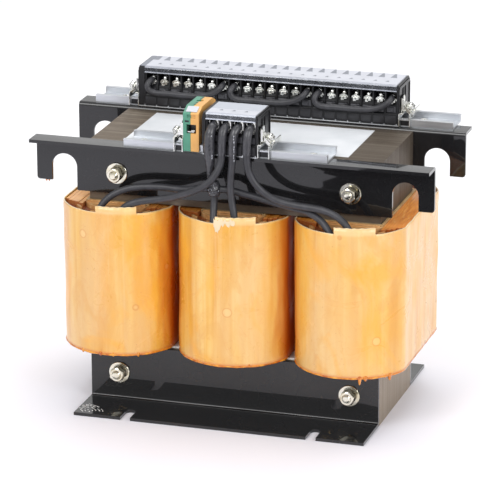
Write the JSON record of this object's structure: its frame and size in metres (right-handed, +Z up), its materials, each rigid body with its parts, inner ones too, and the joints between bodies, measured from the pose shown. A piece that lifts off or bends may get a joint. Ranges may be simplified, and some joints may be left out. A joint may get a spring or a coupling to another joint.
{
  "type": "dry type three-phase transformer",
  "caption": "Open dry type three-phase transformer: laminated core, wrapped coils, black clamp angles with lifting slots, slotted feet and rail-mounted terminal blocks.",
  "frame": {"origin": "middle of the core on the surface that the feet stand on, which is the bottom centre of the bounding box without the leads", "axes": "+X along the row of coils, to the right seen from the side with the lead-out terminals; +Y to the long terminal strip at the rear; +Z up"},
  "size_m": [0.3944, 0.2296, 0.307],
  "materials": {
    "lamination_steel": "cut edges of stacked silicon steel sheets, grey-brown varnish",
    "black_paint": "gloss",
    "yellow_zinc": "yellow-passivated zinc",
    "press_board": "plain",
    "varnished_winding": "varnished insulation over the conductor",
    "varnished_wrap": "varnished, semi-gloss",
    "spacer_board": "varnished",
    "rail_aluminium": "satin",
    "bright_zinc": "bright zinc",
    "black_moulding": "satin",
    "contact_brass": "nickel-plated",
    "clear_cover": "smoky clear",
    "white_marker": "satin",
    "green_moulding": "satin",
    "yellow_moulding": "satin",
    "lead_insulation": "satin",
    "shrink_sleeve": "satin",
    "plate_blank": "semi-gloss"
  },
  "bodies": {
    "root": {"clamp_bolts": "yellow_zinc", "clamp_nuts": "yellow_zinc", "clamp_spring_washers": "yellow_zinc", "clamp_washers": "yellow_zinc", "coil_former_left": "press_board", "coil_former_middle": "press_board", "coil_former_right": "press_board", "coil_support_strips": "press_board", "coil_wrap_left": "varnished_wrap", "coil_wrap_middle": "varnished_wrap", "coil_wrap_right": "varnished_wrap", "core_e_stack": "lamination_steel", "core_top_yoke": "lamination_steel", "duct_sticks": "spacer_board", "earth_terminal_clamp": "bright_zinc", "earth_terminal_green": "green_moulding", "earth_terminal_marker": "white_marker", "earth_terminal_yellow": "yellow_moulding", "end_clamp_brackets": "bright_zinc", "end_clamp_screws": "bright_zinc", "end_packing": "spacer_board", "foot_front": "black_paint", "foot_rear": "black_paint", "front_end_plates": "black_moulding", "front_marker_strip": "white_marker", "front_terminal_bodies": "black_moulding", "front_terminal_contacts": "contact_brass", "front_terminal_cover": "clear_cover", "front_terminal_screws": "bright_zinc", "inner_winding_left": "varnished_winding", "inner_winding_middle": "varnished_winding", "inner_winding_right": "varnished_winding", "jumper_left": "lead_insulation", "jumper_middle": "lead_insulation", "jumper_right": "lead_insulation", "lead_left_a": "lead_insulation", "lead_left_b": "lead_insulation", "lead_middle_a": "lead_insulation", "lead_middle_b": "lead_insulation", "lead_right_a": "lead_insulation", "lead_right_b": "lead_insulation", "lead_sleeves": "shrink_sleeve", "lead_splice": "shrink_sleeve", "name_plate": "plate_blank", "outer_winding_left": "varnished_winding", "outer_winding_middle": "varnished_winding", "outer_winding_right": "varnished_winding", "rail_screws": "bright_zinc", "rear_end_plates": "black_moulding", "rear_marker_strip": "white_marker", "rear_terminal_bodies": "black_moulding", "rear_terminal_contacts": "contact_brass", "rear_terminal_cover": "clear_cover", "rear_terminal_screws": "bright_zinc", "terminal_rail_front": "rail_aluminium", "terminal_rail_rear": "rail_aluminium", "top_clamp_front": "black_paint", "top_clamp_rear": "black_paint"}
  },
  "joints": []
}
